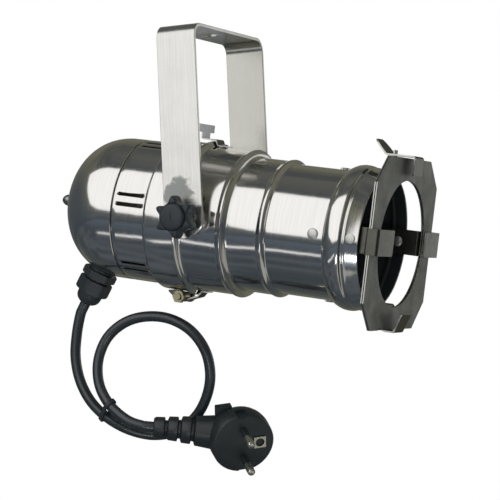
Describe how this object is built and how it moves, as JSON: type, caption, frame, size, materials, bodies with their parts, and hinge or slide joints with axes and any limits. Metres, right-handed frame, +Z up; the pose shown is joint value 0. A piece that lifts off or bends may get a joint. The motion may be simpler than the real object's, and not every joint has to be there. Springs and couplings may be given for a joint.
{
  "type": "par can",
  "caption": "Small stage par can in a bent yoke with clamp knobs, a hinged vented rear housing, a colour frame held in clips, and a tied mains lead with an angled plug",
  "frame": {"origin": "centre of the bolt hole in the yoke's top bar, on its upper face", "axes": "+X towards the front of the can as the yoke's plane sees it, +Y to the far yoke leg, along the pivot, +Z up, square to the yoke's top bar; the can rests nose down by 10.2 degrees"},
  "size_m": [0.237, 0.132, 0.2683],
  "materials": {
    "polished_aluminium": "spun sheet polished to a mirror, with fine turning lines",
    "satin_aluminium": "flat strip with a fine lengthwise grain",
    "zinc_steel": "bright zinc plating",
    "yellow_zinc": "yellow passivated zinc plating",
    "dark_sheet": "dull grey sheet with faint blotches",
    "black_plastic": "moulded black plastic with a soft gloss",
    "black_rubber": "black flexible sheath with a dull sheen",
    "white_ceramic": "fired ceramic with a dull glaze",
    "lamp_glass": "pressed glass, silvered behind",
    "nickel_brass": "nickel plated brass"
  },
  "bodies": {
    "yoke": {"yoke": "satin_aluminium"},
    "can_front": {"front_housing": "polished_aluminium", "knob_stud_near": "zinc_steel", "knob_stud_far": "zinc_steel", "knob_washer_near": "zinc_steel", "knob_washer_far": "zinc_steel", "pivot_spacer_near": "satin_aluminium", "pivot_spacer_far": "satin_aluminium", "pivot_nut_near": "zinc_steel", "pivot_nut_far": "zinc_steel", "side_clip_near": "satin_aluminium", "side_clip_far": "satin_aluminium", "bottom_clip": "satin_aluminium", "top_bracket": "satin_aluminium", "colour_frame_front": "dark_sheet", "colour_frame_back": "dark_sheet", "clip_rivet_near": "polished_aluminium", "clip_rivet_far": "polished_aluminium", "clip_rivet_top": "polished_aluminium", "clip_rivet_bottom": "polished_aluminium", "rim_rivet_near": "polished_aluminium", "rim_rivet_far": "polished_aluminium", "latch_plate": "satin_aluminium", "latch_rivet": "polished_aluminium", "hinge_knuckle": "satin_aluminium", "hinge_screw": "yellow_zinc", "hinge_nut": "yellow_zinc"},
    "knob_near": {"knob_near": "black_plastic"},
    "knob_far": {"knob_far": "black_plastic"},
    "frame_catch": {"top_clip": "satin_aluminium"},
    "latch": {"latch_spring": "satin_aluminium"},
    "can_rear": {"rear_band": "polished_aluminium", "rear_dome": "polished_aluminium", "rear_lug": "satin_aluminium", "cap_washer": "zinc_steel", "cap_nut": "zinc_steel", "axis_screw": "zinc_steel", "holder_bracket": "zinc_steel", "base_screw_top": "zinc_steel", "base_screw_bottom": "zinc_steel", "lamp_holder": "white_ceramic", "gland_body": "black_plastic", "gland_locknut": "black_plastic", "gland_nut": "black_plastic", "cord": "black_rubber", "cable_tie": "black_plastic", "plug_body": "black_rubber", "plug_pin_left": "nickel_brass", "plug_pin_right": "nickel_brass", "plug_earth_contact": "nickel_brass"},
    "lamp": {"lamp_reflector": "lamp_glass", "lamp_lens": "lamp_glass", "lamp_cap": "nickel_brass"}
  },
  "joints": [
    {"name": "can_tilt", "type": "hinge", "parent": "yoke", "child": "can_front", "pos_m": [0, 0, -0.1136], "axis": [0, 1, 0], "range_deg": [-60, 70]},
    {"name": "knob_near_turn", "type": "hinge", "parent": "can_front", "child": "knob_near", "pos_m": [0, -0.06, -0.1136], "axis": [0, -1, 0], "range_deg": [0, 360]},
    {"name": "knob_far_turn", "type": "hinge", "parent": "can_front", "child": "knob_far", "pos_m": [0, 0.06, -0.1136], "axis": [0, 1, 0], "range_deg": [0, 360]},
    {"name": "frame_catch_lift", "type": "hinge", "parent": "can_front", "child": "frame_catch", "pos_m": [0.11474, 0, -0.08293], "axis": [0, -1, 0], "range_deg": [0, 50]},
    {"name": "latch_flex", "type": "hinge", "parent": "can_front", "child": "latch", "pos_m": [0.00006, 0, -0.0653], "axis": [0, 1, 0], "range_deg": [0, 12], "stiffness_Nm_per_rad": 0.5},
    {"name": "rear_open", "type": "hinge", "parent": "can_front", "child": "can_rear", "pos_m": [-0.02541, 0, -0.15882], "axis": [0, -1, 0], "range_deg": [0, 35]},
    {"name": "lamp_turn", "type": "hinge", "parent": "can_rear", "child": "lamp", "pos_m": [0, 0, -0.1136], "axis": [0.9842, 0, -0.1771], "range_deg": [0, 360]}
  ]
}
